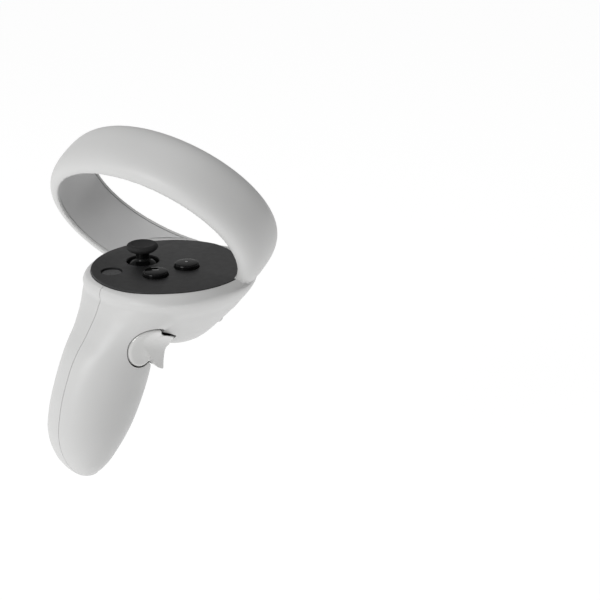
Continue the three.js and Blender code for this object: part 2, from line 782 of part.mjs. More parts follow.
place("grip_trigger", gripTrigger(), glossGrey);
place("grip_trigger_pin", bar(onGripAxis(-10.2), onGripAxis(10.2), PIN), steel);
place("grip_trigger_spring", leverSpring(GRIP_SPRING), steel);
place("grip_trigger_magnet", gripMagnet(), steel);
place("inner_frame", innerFrame(), innerBlack);

place("battery_cell", batteryCell(), cellGreen);
place("battery_cradle", batteryCradle(), innerBlack);
place("battery_contact_plate", contactPlate(), steel);
place("battery_contact_spring", contactSpring(), steel);
place("haptic_motor", disc(MOTOR.radius, MOTOR.top, MOTOR.bottom, MOTOR.at, 32), steel);
place("strap_anchor_bar", anchorBar(), steel);
for (const [name, at] of Object.entries(SCREWS)) {
  place(`housing_screw_${name}`, housingScrew(at), steel);
}

export default controller;
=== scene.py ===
"""The looks of a left-hand motion controller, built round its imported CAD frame.

Lengths in the form functions are millimetres in the row's frame; meshes are made in metres.
"""
import math

import bmesh
import bpy
import numpy as np
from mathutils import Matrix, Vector


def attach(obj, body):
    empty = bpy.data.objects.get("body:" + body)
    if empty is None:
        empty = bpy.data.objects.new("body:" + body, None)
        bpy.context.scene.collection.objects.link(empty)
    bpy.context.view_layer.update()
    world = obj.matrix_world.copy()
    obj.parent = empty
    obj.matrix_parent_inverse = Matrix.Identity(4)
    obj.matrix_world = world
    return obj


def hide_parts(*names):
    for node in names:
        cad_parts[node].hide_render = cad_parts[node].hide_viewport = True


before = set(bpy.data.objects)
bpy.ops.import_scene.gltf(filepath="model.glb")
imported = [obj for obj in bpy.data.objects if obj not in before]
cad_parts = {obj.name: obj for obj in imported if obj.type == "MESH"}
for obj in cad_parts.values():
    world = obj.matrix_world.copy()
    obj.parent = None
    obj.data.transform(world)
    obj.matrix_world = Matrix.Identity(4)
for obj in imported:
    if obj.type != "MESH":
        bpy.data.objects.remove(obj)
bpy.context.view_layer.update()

MM = 0.001

# ------------------------------------------------------------------ sizes, in millimetres
SEAM = 0.22  # visible gap between the two housing halves
WALL = 1.8
PLATE_RADIUS = 32.0
POCKET = {"gap": 0.2, "inner": 29.5, "ledge": -1.9, "floor": -4.4, "top": 6}
POWER = 2.2  # squareness of the body's cross sections
RING = {
    "centre": (-9.2, 3.56, 20.23), "lean": 60, "tilt": 14.2, "roll": 15,
    "a": 43.85, "b": 30.2, "width": 25.8, "thickness": 7.2, "lip": 1.2, "web": 1.3,
    "along": 2.6, "out": 2.2, "rim": 1.3,
}
SPLIT = {"x": 0.8, "slope": 0.04}
STEP = 0.75  # grid of the housing's net

# Outline stations from the rim down: z, rear y, front y, half width
HEAD = [
    (-0.2, -34.9, 35, 35), (-2.2, -35.1, 35, 35.1), (-3.8, -35.2, 34.6, 35.2),
    (-8, -33, 33.2, 33), (-13, -28, 31, 28.6), (-18, -23.5, 28, 24), (-23, -19.5, 24.2, 19.6),
    (-27, -15.5, 20.5, 15.8), (-30.5, -10.5, 16.8, 11.6), (-32.8, -4.5, 13, 7.4),
    (-33.8, 1.5, 8.5, 3.4), (-34.1, 3.6, 6.4, 1.2),
]
HANDLE = [
    (-4.5, -33.4, 18, 30), (-8, -35.2, 13, 28.6), (-12, -37.2, 6, 25.2), (-16, -39.8, -1, 21.8),
    (-20, -42.6, -7.4, 19.2), (-26, -47.3, -12.6, 17.2), (-38, -53.5, -14.8, 16.3),
    (-50, -57.4, -19.8, 16.2), (-60, -58.7, -25.6, 15.6), (-68, -57.2, -31.6, 13.6),
    (-74, -54.2, -36.6, 10.6), (-77.6, -51, -40.2, 7), (-79.4, -47.8, -42.6, 3.4),
    (-79.7, -46, -44.4, 1.2),
]


# ------------------------------------------------------------------ distance fields
def unit(v):
    v = np.array(v, float)
    return v / np.linalg.norm(v)


def ring_axes():
    lean, tilt, roll = (math.radians(RING[k]) for k in ("lean", "tilt", "roll"))
    axis = np.array([-math.sin(tilt), math.sin(lean) * math.cos(tilt), math.cos(lean) * math.cos(tilt)])
    across = unit(np.array([1.0, 0, 0]) - axis[0] * axis)
    along = np.cross(axis, across)
    u = across * math.cos(roll) + along * math.sin(roll)
    return u, np.cross(axis, u), axis


RING_U, RING_V, RING_AXIS = ring_axes()


def smooth_step(low, high, t):
    s = np.clip((t - low) / (high - low), 0, 1)
    return s * s * (3 - 2 * s)


def smooth_min(a, b, k):
    h = np.clip(k - np.abs(a - b), 0, None) / k
    return np.minimum(a, b) - h * h * k * 0.25


def smooth_max(a, b, k):
    return -smooth_min(-a, -b, k)


def dense(stations, count=400):
    """The stations as close-set rows, by a cubic through them that is monotone in z."""
    rows = np.array(stations, float)[::-1]
    z = rows[:, 0]
    grid = np.linspace(z[0], z[-1], count)
    i = np.clip(np.searchsorted(z, grid, "right") - 1, 0, len(z) - 2)
    span = z[i + 1] - z[i]
    t = (grid - z[i]) / span
    columns = [grid]
    for k in (1, 2, 3):
        value = rows[:, k]
        secant = np.diff(value) / np.diff(z)
        slope = np.gradient(value, z)
        slope[0], slope[-1] = secant[0], secant[-1]
        h00, h10 = 2 * t**3 - 3 * t**2 + 1, t**3 - 2 * t**2 + t
        h01, h11 = -2 * t**3 + 3 * t**2, t**3 - t**2
        columns.append(
            h00 * value[i] + h10 * span * slope[i] + h01 * value[i + 1] + h11 * span * slope[i + 1]
        )
    return columns


HEAD_ROWS, HANDLE_ROWS = dense(HEAD), dense(HANDLE)


def loft(rows, p):
    """Distance to a loft of superellipses stacked in z."""
    x, y, z = p[..., 0], p[..., 1], p[..., 2]
    grid, rear, front, half = rows
    at = [np.interp(z, grid, column) for column in (rear, front, half)]
    middle, deep, wide = (at[0] + at[1]) / 2, (at[1] - at[0]) / 2, at[2]
    q = (np.abs(x / wide) ** POWER + np.abs((y - middle) / deep) ** POWER) ** (1 / POWER) + 1e-9
    r = np.hypot(x, y - middle)
    side = np.where(r < 1e-3, -wide, r - r / q)
    cap = np.maximum(z - grid[-1], grid[0] - z)
    return np.where((side > 0) & (cap > 0), np.hypot(side, cap), np.maximum(side, cap))


def ring_place(p):
    """Depth out from the ring's inner face, and height along its axis."""
    q = p - np.array(RING["centre"])
    u, v, h = q @ RING_U, q @ RING_V, q @ RING_AXIS
    a, b = RING["a"], RING["b"]
    rho = np.hypot(u, v) + 1e-6
    d = rho - 1 / np.sqrt((u / rho / a) ** 2 + (v / rho / b) ** 2)
    for _ in range(5):
        d = np.maximum(d, 4 - b)
        f = (u / (a + d)) ** 2 + (v / (b + d)) ** 2 - 1
        slope = -2 * (u**2 / (a + d) ** 3 + v**2 / (b + d) ** 3)
        d = d - np.clip(f / slope, -8, 8)
    return np.maximum(d, 4 - b), h


def ring_band(p):
    """Distance to the whole ring: its bulged outer skin, flat ends and inner face."""
    d, h = ring_place(p)
    half, lip, rise = RING["width"] / 2, RING["lip"], RING["thickness"] - RING["lip"]
    m, n = RING["along"], RING["out"]
    out, side = np.maximum(d - lip, 0) / rise, np.abs(h) / half
    e = out**n + side**m + 1e-12
    q = e ** (1 / n)
    steep = q / e * np.hypot(out ** (n - 1) / rise, m / n * side ** (m - 1) / half) + 1e-9
    return smooth_max((q - 1) / steep, -d, 0.9)


def head_and_handle(p):
    x, y, z = p[..., 0], p[..., 1], p[..., 2]
    k = 1.0 + 3 * smooth_step(-5, -15, z) * smooth_step(4, -6, x)
    head = loft(HEAD_ROWS, p) + 0.9 * smooth_step(-4, -14, z) + 0.9 * smooth_step(-14, -26, z)
    both = smooth_min(head, loft(HANDLE_ROWS, p), k)
    chamfer = (np.hypot(x, y) + z - RIM_CONE) / math.sqrt(2)
    soft = 0.25 + 3.2 * smooth_step(22, -8, 0.9 * x + 0.45 * y)
    return smooth_max(both, chamfer, soft)


def fairing_planes():
    """The flat faces of the taut skin from the ring's foot down to the head's rim and front."""
    foot = [(2.95 + 4.25 * math.cos(a), 12.9 * math.sin(a)) for a in np.radians(np.linspace(-90, 60, 11))]
    feet = [ring_point(np.radians(t), d, h) for t in (2, 8, 14, 20, 27, 34) for d, h in foot]
    rim = [np.array((34 * math.cos(a), 34 * math.sin(a), -5)) for a in np.radians((22, 36, 50))]
    b = bmesh.new()
    for q in feet + rim + [np.array((23, 16, -16)), np.array((17, 18, -21))]:
        b.verts.new(q)
    bmesh.ops.convex_hull(b, input=b.verts)
    b.normal_update()
    middle = sum((v.co for v in b.verts), Vector()) / len(b.verts)
    planes = []
    for f in b.faces:
        n = f.normal if (f.verts[0].co - middle).dot(f.normal) > 0 else -f.normal
        planes.append((*n, n.dot(f.verts[0].co)))
    b.free()
    return np.unique(np.round(planes, 5), axis=0)


def fairing(p, ring_depth, ring_height):
    f = np.full(p.shape[:-1], 1e3)
    near = np.all((p > (0, -20, -40)) & (p < (60, 50, 25)), -1)
    q = p[near]
    best = np.full(len(q), -1e3)
    for a, b, c, d in FAIRING:
        best = np.maximum(best, q @ np.array((a, b, c)) - d)
    opening = np.minimum(0.8 - ring_depth[near], RING["width"] / 2 - np.abs(ring_height[near]))
    f[near] = np.maximum(best + 1.2, opening)
    return f


def body(p):
    """Head, handle and ring as one skin, with soft hollows where they meet below the rim."""
    ring = ring_band(p)
    depth, height = ring_place(p)
    z = p[..., 2]
    core = smooth_min(head_and_handle(p), fairing(p, depth, height), 0.3 + 1.2 * smooth_step(-3, -9, z))
    core = smooth_max(core, height - RING["width"] / 2, 1.5)
    away = smooth_step(14, 2, p[..., 0])
    return smooth_min(core, ring, 0.5 + (1 + 3 * away) * smooth_step(-3, -10, z))


def polygon(points, u, v):
    """Signed distance to a polygon in the plane."""
    n = len(points)
    best = np.full(u.shape, 1e9)
    inside = np.zeros(u.shape, bool)
    for i in range(n):
        (ax, ay), (bx, by) = points[i], points[(i + 1) % n]
        ex, ey = bx - ax, by - ay
        wx, wy = u - ax, v - ay
        t = np.clip((wx * ex + wy * ey) / (ex * ex + ey * ey), 0, 1)
        best = np.minimum(best, np.hypot(wx - ex * t, wy - ey * t))
        cross = ((ay <= v) & (v < by)) | ((by <= v) & (v < ay))
        inside ^= cross & (wx * ey - wy * ex > 0 if ey > 0 else (wx * ey - wy * ex < 0) & cross)
    return np.where(inside, -best, best)


RIM_CONE = 32.5  # radius plus height on the rim's chamfer
# ------------------------------------------------------------------ fields to meshes
def unpinched(inside):
    """Fills grid squares whose opposite corners alone are inside, as they would pinch the net."""
    inside = inside.copy()
    for _ in range(20):
        found = False
        for m, n in ((0, 1), (0, 2), (1, 2)):
            v = np.moveaxis(inside, (m, n), (0, 1))
            a, b, c, d = (w.copy() for w in (v[:-1, :-1], v[1:, :-1], v[:-1, 1:], v[1:, 1:]))
            pinch = (a == d) & (b == c) & (a != b)
            v[:-1, :-1] |= pinch
            v[1:, :-1] |= pinch
            found = found or pinch.any()
        if not found:
            break
    return inside


def net(field, low, high, step):
    """A closed quad mesh on field = 0 inside a box, its points moved onto the surface."""
    low, high = np.array(low, float), np.array(high, float)
    counts = np.ceil((high - low) / step).astype(int) + 1
    axes = [low[i] + step * np.arange(counts[i]) for i in range(3)]
    values = np.empty(counts, np.float32)
    for i, x in enumerate(axes[0]):
        y, z = np.meshgrid(axes[1], axes[2], indexing="ij")
        values[i] = field(np.stack([np.full_like(y, x), y, z], -1))
    inside = unpinched(values < 0)
    values = np.where(inside, np.minimum(values, -1e-3), np.maximum(values, 1e-3))
    corners = [(i, j, k) for i in (0, 1) for j in (0, 1) for k in (0, 1)]
    shape = counts - 1

    def at(array, c):
        return array[c[0]:c[0] + shape[0], c[1]:c[1] + shape[1], c[2]:c[2] + shape[2]]

    total = sum(at(inside, c).astype(np.int8) for c in corners)
    cells = np.argwhere((total > 0) & (total < 8))
    index = np.full(shape, -1, np.int64)
    index[tuple(cells.T)] = np.arange(len(cells))
    corner_values = np.stack([values[tuple((cells + c).T)] for c in corners], 1)
    place, count = np.zeros((len(cells), 3)), np.zeros(len(cells))
    for a, ca in enumerate(corners):
        for b, cb in enumerate(corners):
            if b > a and sum(abs(m - n) for m, n in zip(ca, cb)) == 1:
                fa, fb = corner_values[:, a], corner_values[:, b]
                hit = (fa < 0) != (fb < 0)
                t = np.where(hit, fa / np.where(hit, fa - fb, 1), 0)
                point = np.array(ca) + t[:, None] * (np.array(cb) - np.array(ca))
                place += point * hit[:, None]
                count += hit
    points = low + step * (cells + place / count[:, None])
    points = onto(field, points, step)
    faces = []
    for axis in range(3):
        o = [0, 0, 0]
        o[axis] = 1
        first = inside[:counts[0] - o[0], :counts[1] - o[1], :counts[2] - o[2]]
        second = inside[o[0]:, o[1]:, o[2]:]
        m, n = [i for i in range(3) if i != axis]
        edge = np.argwhere(first != second)
        edge = edge[(edge[:, m] > 0) & (edge[:, n] > 0) & (edge[:, m] < shape[m]) & (edge[:, n] < shape[n])]
        dm, dn = np.eye(3, dtype=int)[m], np.eye(3, dtype=int)[n]
        quad = np.stack([index[tuple((edge - s).T)] for s in (dm + dn, dn, 0 * dm, dm)], 1)
        flip = first[tuple(edge.T)] == (axis == 1)
        quad[flip] = quad[flip][:, ::-1]
        faces.append(quad)
    return points, np.concatenate(faces)


def onto(field, points, step, rounds=3):
    """Points near a surface moved onto it along the field's slope."""
    tiny = 0.05
    for _ in range(rounds):
        f = field(points)
        slope = np.stack(
            [(field(points + tiny * e) - field(points - tiny * e)) / (2 * tiny) for e in np.eye(3)], -1
        )
        size = (slope**2).sum(-1)
        move = -(f / np.maximum(size, 0.2))[:, None] * slope
        length = np.linalg.norm(move, axis=1, keepdims=True) + 1e-12
        points = points + move * np.minimum(1, 0.5 * step / length)
    return points


def mesh_object(name, points, faces):
    mesh = bpy.data.meshes.new(name)
    loops = faces if isinstance(faces, list) else np.asarray(faces).tolist()
    mesh.from_pydata((np.asarray(points) * MM).tolist(), [], loops)
    mesh.validate()
    made = bpy.data.objects.new(name, mesh)
    bpy.context.scene.collection.objects.link(made)
    return made


def net_object(name, field, low, high, step):
    return mesh_object(name, *net(field, low, high, step))


# ------------------------------------------------------------------ closed meshes by rule
def tube(rings, looped):
    """A closed quad skin over equal rings of points; the ends are capped unless it loops."""
    rings = np.asarray(rings, float)
    rows, n = rings.shape[:2]
    points = rings.reshape(-1, 3)
    last = rows if looped else rows - 1
    i, k = np.meshgrid(np.arange(last), np.arange(n), indexing="ij")
    j, l = (i + 1) % rows, (k + 1) % n
    faces = np.stack([i * n + k, i * n + l, j * n + l, j * n + k], -1).reshape(-1, 4).tolist()
    if not looped:
        faces.append(list(range(n))[::-1])
        faces.append(list(range((rows - 1) * n, rows * n)))
    return points, faces


def solid_object(name, points, faces):
    made = mesh_object(name, points, faces)
    b = bmesh.new()
    b.from_mesh(made.data)
    bmesh.ops.recalc_face_normals(b, faces=b.faces)
    if b.calc_volume(signed=True) < 0:
        bmesh.ops.reverse_faces(b, faces=b.faces)
    b.to_mesh(made.data)
    b.free()
    return made


def lathe(name, profile, at=(0, 0), segments=128):
    """A turned solid about a vertical axis, from [radius, z] points that start and end on it."""
    turn = np.linspace(0, 2 * math.pi, segments, endpoint=False)
    middle = [q for q in profile if q[0] > 1e-6]
    rings = [[(at[0] + r * math.cos(t), at[1] + r * math.sin(t), z) for t in turn] for r, z in middle]
    points = [tuple(p) for ring in rings for p in ring]
    faces = []
    for i in range(len(rings) - 1):
        for k in range(segments):
            l = (k + 1) % segments
            faces.append([i * segments + k, i * segments + l, (i + 1) * segments + l, (i + 1) * segments + k])
    for ring, z in ((0, profile[0][1]), (len(rings) - 1, profile[-1][1])):
        hub = len(points)
        points.append((at[0], at[1], z))
        for k in range(segments):
            faces.append([hub, ring * segments + k, ring * segments + (k + 1) % segments])
    return solid_object(name, points, faces)


def rounded(profile, radius, steps=5):
    """The inner corners of an open profile turned into arcs."""
    out = [tuple(profile[0])]
    for a, b, c in zip(profile, profile[1:], profile[2:]):
        a, b, c = (np.array(q, float) for q in (a, b, c))
        u, v = unit(a - b), unit(c - b)
        angle = math.acos(np.clip(u @ v, -1, 1))
        reach = min(radius / math.tan(angle / 2), 0.45 * np.linalg.norm(a - b), 0.45 * np.linalg.norm(c - b))
        if angle > math.radians(168):
            out.append(tuple(b))
            continue
        for t in np.linspace(0, 1, steps + 1):
            p, q = b + u * reach, b + v * reach
            out.append(tuple((1 - t) ** 2 * p + 2 * t * (1 - t) * b + t**2 * q))
    return out + [tuple(profile[-1])]


def rod(name, start, end, radius, segments=96):
    start, end = np.array(start, float), np.array(end, float)
    axis = unit(end - start)
    side = unit(np.cross(axis, (0, 0, 1) if abs(axis[2]) < 0.9 else (0, 1, 0)))
    other = np.cross(axis, side)
    turn = np.linspace(0, 2 * math.pi, segments, endpoint=False)
    circle = np.outer(np.cos(turn), side) + np.outer(np.sin(turn), other)
    return solid_object(name, *tube([start + radius * circle, end + radius * circle], False))


def block(name, low, high, tilt=0):
    """A box; tilt leans it about Y so that x falls by tilt for each unit of z."""
    c = [
        (x - tilt * z, y, z)
        for z in (low[2], high[2])
        for x, y in ((low[0], low[1]), (high[0], low[1]), (high[0], high[1]), (low[0], high[1]))
    ]
    walls = [(i, (i + 1) % 4, (i + 1) % 4 + 4, i + 4) for i in range(4)]
    return solid_object(name, c, [(3, 2, 1, 0), (4, 5, 6, 7)] + walls)


def ring_point(angle, depth, height):
    c, s = np.cos(angle), np.sin(angle)
    return (
        np.array(RING["centre"])
        + np.multiply.outer((RING["a"] + depth) * c, RING_U)
        + np.multiply.outer((RING["b"] + depth) * s, RING_V)
        + height * RING_AXIS
    )


def ring_loft(name, profile, segments=288):
    """A band round the ring from [depth, height] points that go round its section."""
    turn = np.linspace(0, 2 * math.pi, segments, endpoint=False)
    section = [ring_point(turn, d, h) for d, h in profile]
    return solid_object(name, *tube(np.stack(section, 1), True))


def skin_section(grow, steps=24):
    """The ring's outer skin, grown, as [depth, height] points from its lower to its upper lip."""
    s = np.sin(np.linspace(-math.pi / 2, math.pi / 2, steps + 1))
    rise, half = RING["thickness"] - RING["lip"], RING["width"] / 2 + grow
    out = np.maximum(0, 1 - np.abs(s) ** RING["along"]) ** (1 / RING["out"])
    return [(RING["lip"] + rise * q + grow, t * half) for q, t in zip(out, s)]


FAIRING = fairing_planes()


# ------------------------------------------------------------------ cutting
def cut(target, tool, operation="DIFFERENCE", keep=False):
    """Cuts target by a closed tool, which is then removed."""
    before = len(target.data.polygons)
    step = target.modifiers.new("cut", "BOOLEAN")
    step.operation, step.object, step.solver = operation, tool, "MANIFOLD"
    graph = bpy.context.evaluated_depsgraph_get()
    made = bpy.data.meshes.new_from_object(target.evaluated_get(graph))
    if not made.polygons or len(made.polygons) == before:
        step.solver = "EXACT"
        graph = bpy.context.evaluated_depsgraph_get()
        made = bpy.data.meshes.new_from_object(target.evaluated_get(graph))
    target.modifiers.clear()
    target.data = made
    if not keep:
        bpy.data.objects.remove(tool)
    return target


def copy_of(source, name):
    made = source.copy()
    made.data = source.data.copy()
    made.name = name
    bpy.context.scene.collection.objects.link(made)
    return made


def largest_part(target):
    """Drops every loose part but the biggest."""
    b = bmesh.new()
    b.from_mesh(target.data)
    left, parts = set(b.verts), []
    while left:
        seed = left.pop()
        part, front = {seed}, [seed]
        while front:
            for e in front.pop().link_edges:
                for v in e.verts:
                    if v in left:
                        left.discard(v)
                        part.add(v)
                        front.append(v)
        parts.append(part)
    parts.sort(key=len)
    bmesh.ops.delete(b, geom=[v for part in parts[:-1] for v in part], context="VERTS")
    b.to_mesh(target.data)
    b.free()
    return target


# ------------------------------------------------------------------ materials
class Paint:
    """A principled material whose colour, roughness and bump come from solid noise."""

    def __init__(self, name, colour, roughness, metallic=0.0, specular=0.5, coat=0.0, coat_roughness=0.1):
        self.material = bpy.data.materials.new(name)
        self.material.use_nodes = True
        self.tree = self.material.node_tree
        self.shader = self.tree.nodes["Principled BSDF"]
        self.set("Metallic", metallic)
        self.set("Specular IOR Level", specular)
        self.set("Coat Weight", coat)
        self.set("Coat Roughness", coat_roughness)
        self.colour, self.roughness = colour, roughness
        self.coordinates = self.tree.nodes.new("ShaderNodeTexCoord").outputs["Object"]
        self.bump = None

    def set(self, socket, value):
        self.shader.inputs[socket].default_value = value

    def noise(self, scale, detail=3.0, stretch=None, kind="ShaderNodeTexNoise"):
        """Noise with scale features for each millimetre."""
        node = self.tree.nodes.new(kind)
        node.inputs["Scale"].default_value = scale / MM
        if "Detail" in node.inputs:
            node.inputs["Detail"].default_value = detail
        source = self.coordinates
        if stretch:
            turn = self.tree.nodes.new("ShaderNodeMapping")
            turn.inputs["Scale"].default_value = stretch
            self.tree.links.new(source, turn.inputs["Vector"])
            source = turn.outputs["Vector"]
        self.tree.links.new(source, node.inputs["Vector"])
        return node.outputs[0] if kind != "ShaderNodeTexVoronoi" else node.outputs["Distance"]

    def ramp(self, source, low, high, start=0.3, end=0.7):
        node = self.tree.nodes.new("ShaderNodeValToRGB")
        first, last = node.color_ramp.elements
        first.position, last.position = start, end
        first.color, last.color = (*low, 1), (*high, 1)
        self.tree.links.new(source, node.inputs["Fac"])
        return node.outputs["Color"]

    def vary(self, scale=0.08, colour_spread=0.02, roughness_spread=0.05):
        """Faint large clouds in the colour and finer ones in the roughness."""
        c, d = np.array(self.colour), colour_spread
        self.tree.links.new(
            self.ramp(self.noise(scale, 4), c * (1 - d), c * (1 + d)), self.shader.inputs["Base Color"]
        )
        r = [self.roughness - roughness_spread] * 3, [self.roughness + roughness_spread] * 3
        self.tree.links.new(self.ramp(self.noise(scale * 6, 3), *r), self.shader.inputs["Roughness"])
        return self

    def grain(self, scale, depth, kind="ShaderNodeTexNoise", stretch=None):
        """Surface relief: depth in millimetres."""
        node = self.tree.nodes.new("ShaderNodeBump")
        node.inputs["Strength"].default_value = 1.0
        node.inputs["Distance"].default_value = depth * MM
        self.tree.links.new(self.noise(scale, 2, stretch, kind), node.inputs["Height"])
        if self.bump:
            self.tree.links.new(self.bump, node.inputs["Normal"])
        self.bump = node.outputs["Normal"]
        self.tree.links.new(self.bump, self.shader.inputs["Normal"])
        return self


SHELL = Paint("shell_grey", (0.6, 0.6, 0.595), 0.42).vary(0.05, 0.012, 0.04).grain(2.6, 0.012).material
COVER = Paint("ring_cover_grey", (0.58, 0.58, 0.58), 0.36).vary(0.04, 0.03, 0.05).grain(1.6, 0.006).material
TRIGGER = (
    Paint("trigger_grey", (0.6, 0.6, 0.59), 0.2, coat=0.6)
    .vary(0.06, 0.01, 0.03).grain(2.2, 0.003).material
)
PLATE = (
    Paint("plate_black", (0.014, 0.014, 0.0145), 0.44, specular=0.4)
    .vary(0.06, 0.06, 0.03).grain(7.0, 0.003).material
)
GLOSS = (
    Paint("gloss_black", (0.004, 0.004, 0.0042), 0.08, specular=0.15)
    .vary(0.2, 0.05, 0.02).grain(1.2, 0.0006).material
)
RUBBER = (
    Paint("rubber_black", (0.016, 0.016, 0.0165), 0.72, specular=0.35)
    .vary(0.3, 0.1, 0.06).grain(3.2, 0.03).material
)
MENU_GREY = Paint("menu_grey", (0.05, 0.05, 0.051), 0.3).vary(0.3, 0.05, 0.04).grain(4.0, 0.006).material
MARK = Paint("mark_grey", (0.32, 0.32, 0.32), 0.4).vary(0.8, 0.05, 0.05).grain(6.0, 0.003).material
NYLON = Paint("inner_black", (0.035, 0.035, 0.037), 0.55).vary(0.2, 0.1, 0.06).grain(2.2, 0.02).material
STEEL = (
    Paint("steel", (0.6, 0.61, 0.63), 0.28, metallic=1.0)
    .vary(0.6, 0.05, 0.08).grain(3.0, 0.004, stretch=(1, 8, 1)).material
)
BOARD = Paint("circuit_board", (0.02, 0.16, 0.08), 0.4).vary(1.2, 0.3, 0.08).grain(1.4, 0.03).material
FLEX = Paint("flex_amber", (0.42, 0.2, 0.045), 0.3).vary(0.9, 0.12, 0.05).grain(1.0, 0.01).material
WRAP = (
    Paint("cell_wrap", (0.08, 0.2, 0.34), 0.25, metallic=0.4)
    .vary(0.15, 0.2, 0.05).grain(0.7, 0.006).material
)


def finish(piece, material, body, slot, *nodes, sharp=32):
    """Shades a piece smooth with sharp edges by angle, gives it its material, hangs it under its body and
    hides the parts it stands for.
    """
    mesh = piece.data
    for polygon in mesh.polygons:
        polygon.use_smooth = True
    mesh.set_sharp_from_angle(angle=math.radians(sharp))
    mesh.materials.clear()
    mesh.materials.append(material)
    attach(piece, body)
    if nodes:
        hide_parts(*nodes)
    return piece


# ------------------------------------------------------------------ trigger forms
GRIP = {"pivot": (8.5, -29.5, -25), "radius": 8.6, "y": -24.3, "z": -24.2, "inner": 5.2, "side": 17.3}
GRIP_PLAN = [(19, -24.6), (19, -18), (15.5, -7.5), (9.8, -9.2), (7, -11), (5.2, -14), (5.2, -24.6)]
FINGER = {"at": (16.9, -23.2, -25.6), "along": (-0.398, 0.816, -0.419), "out": (0.899, 0.438, 0)}
FINGER_REAR = {"y": -4.35, "z": -21.3, "radius": 19.5}
FINGER_LENGTH = {"low": 14.6, "more": 6.7, "rise": (1.5, 6.5)}  # longer towards its upper edge
FINGER_CURVE = {"above": 11.0, "below": 60.0}  # how gently the face curves above and below its middle
PIN_BORE, MAGNET_BORE = 1.28, 1.8  # radii
FINGER_SPAN = (-7.2, 6.6)  # the lever's lower and upper edge, from the middle of the finger
INDEX = {"y": 27.5, "z": -13.5, "left": -10, "right": 9, "travel": 15}
INDEX_OUTLINE = [
    (30.6, -12.4), (27.6, -17), (24.6, -21.4), (22.2, -25), (20.9, -27.2), (19.6, -28.2),
    (17, -27.4), (15.2, -22.4), (20, -15.6), (24.6, -10.6), (28, -9.8),
]
HANDLE_UP = np.array([0, math.sin(math.radians(17.2)), math.cos(math.radians(17.2))])


def turned_back(p, through, axis, degrees):
    """Points of space carried back by a turn about a line."""
    a = math.radians(-degrees)
    k, q = unit(axis), p - np.array(through)
    return (
        np.array(through) + q * math.cos(a) + np.cross(k, q) * math.sin(a)
        + np.multiply.outer(q @ k, k) * (1 - math.cos(a))
    )


def finger_frame(p):
    """Height up the finger face, distance along it from its rear edge, and distance out of it."""
    q = p - np.array(FINGER["at"])
    along, out = unit(FINGER["along"]), unit(FINGER["out"])
    return q @ np.cross(out, along), q @ along, q @ out


def grip_blank(p):
    x, y, z = p[..., 0], p[..., 1], p[..., 2]
    side = np.hypot(y - GRIP["y"], z - GRIP["z"]) - GRIP["radius"]
    side = np.maximum(side, GRIP["inner"] - x)
    side = smooth_max(side, head_and_handle(p) - 0.6, 1.6)
    height, reach, _ = finger_frame(p)
    lever = smooth_max(polygon(GRIP_PLAN, x, y), x - GRIP["side"], 1.0)
    rear = np.hypot(y - FINGER_REAR["y"], z - FINGER_REAR["z"]) - FINGER_REAR["radius"]
    length = FINGER_LENGTH["low"] + FINGER_LENGTH["more"] * smooth_step(*FINGER_LENGTH["rise"], height)
    front = (reach - length) / 1.6
    lever = smooth_max(lever, np.maximum(rear, front), 0.5)
    lever = smooth_max(lever, np.maximum(height - FINGER_SPAN[1], FINGER_SPAN[0] - height), 0.8)
    return smooth_min(side, lever, 1.5)


def grip_form(p):
    height, _, out = finger_frame(p)
    curve = np.where(height > 0, FINGER_CURVE["above"], FINGER_CURVE["below"])
    face = (out - height**2 / curve) / np.sqrt(1 + (2 * height / curve) ** 2)
    return smooth_max(grip_blank(p), face, 0.3)


def grip_room(p):
    moves = [grip_form(turned_back(p, GRIP["pivot"], HANDLE_UP, t)) for t in (0, 3, 6, 9)]
    return np.minimum.reduce(moves) - 0.55


def index_form(p):
    x, y, z = p[..., 0], p[..., 1], p[..., 2]
    across = np.abs(x - (INDEX["left"] + INDEX["right"]) / 2) - (INDEX["right"] - INDEX["left"]) / 2
    return smooth_max(polygon(INDEX_OUTLINE, y, z), across, 3.0)


def index_room(p):
    through = (0, INDEX["y"], INDEX["z"])
    moves = [index_form(turned_back(p, through, (-1, 0, 0), t)) for t in (0, 4, 8, 12, 16)]
    return np.minimum.reduce(moves) - 0.45


# ------------------------------------------------------------------ the housing
def hollow(p):
    f = head_and_handle(p)
    tiny = 0.2
    slope = [(head_and_handle(p + tiny * e) - head_and_handle(p - tiny * e)) / (2 * tiny) for e in np.eye(3)]
    steep = np.sqrt(sum(s * s for s in slope))
    return f / np.maximum(steep, 0.5) + WALL


def cover_form(p):
    x, z = p[..., 0], p[..., 2]
    inside = np.maximum(x + 7, np.abs(z + 51) - 20.5)
    return np.maximum(np.maximum(head_and_handle(p), -hollow(p)), inside)


def head_loft(name, grow):
    """The head alone as a closed loft, grown on every side."""
    grid, rear, front, half = (np.asarray(c) for c in HEAD_ROWS)
    turn = np.linspace(0, 2 * math.pi, 200, endpoint=False)
    power = lambda v: np.sign(v) * np.abs(v) ** (2 / POWER)
    rings = []
    stations = list(zip(grid, rear, front, half))[::6]
    stations.append((grid[-1] + grow, rear[-1], front[-1], half[-1]))
    for z, r, f, h in stations:
        y0, deep, wide = (r + f) / 2, (f - r) / 2 + grow, h + grow
        across, along = wide * power(np.cos(turn)), y0 + deep * power(np.sin(turn))
        rings.append(np.stack([across, along, np.full(len(turn), z)], -1))
    return solid_object(name, *tube(rings, False))


def plate_pocket():
    """The room for the plate, with a narrower room for the board below its ledge."""
    ledge, wall = POCKET["ledge"], PLATE_RADIUS + POCKET["gap"]
    inner, floor, top = POCKET["inner"], POCKET["floor"], POCKET["top"]
    profile = [(0, floor), (inner, floor), (inner, ledge), (wall, ledge), (wall, top), (0, top)]
    pocket = lathe("pocket", profile, segments=256)
    return cut(pocket, ring_loft("bar", [(-0.2, -13.1)] + skin_section(0.02) + [(-0.2, 13.1)]))


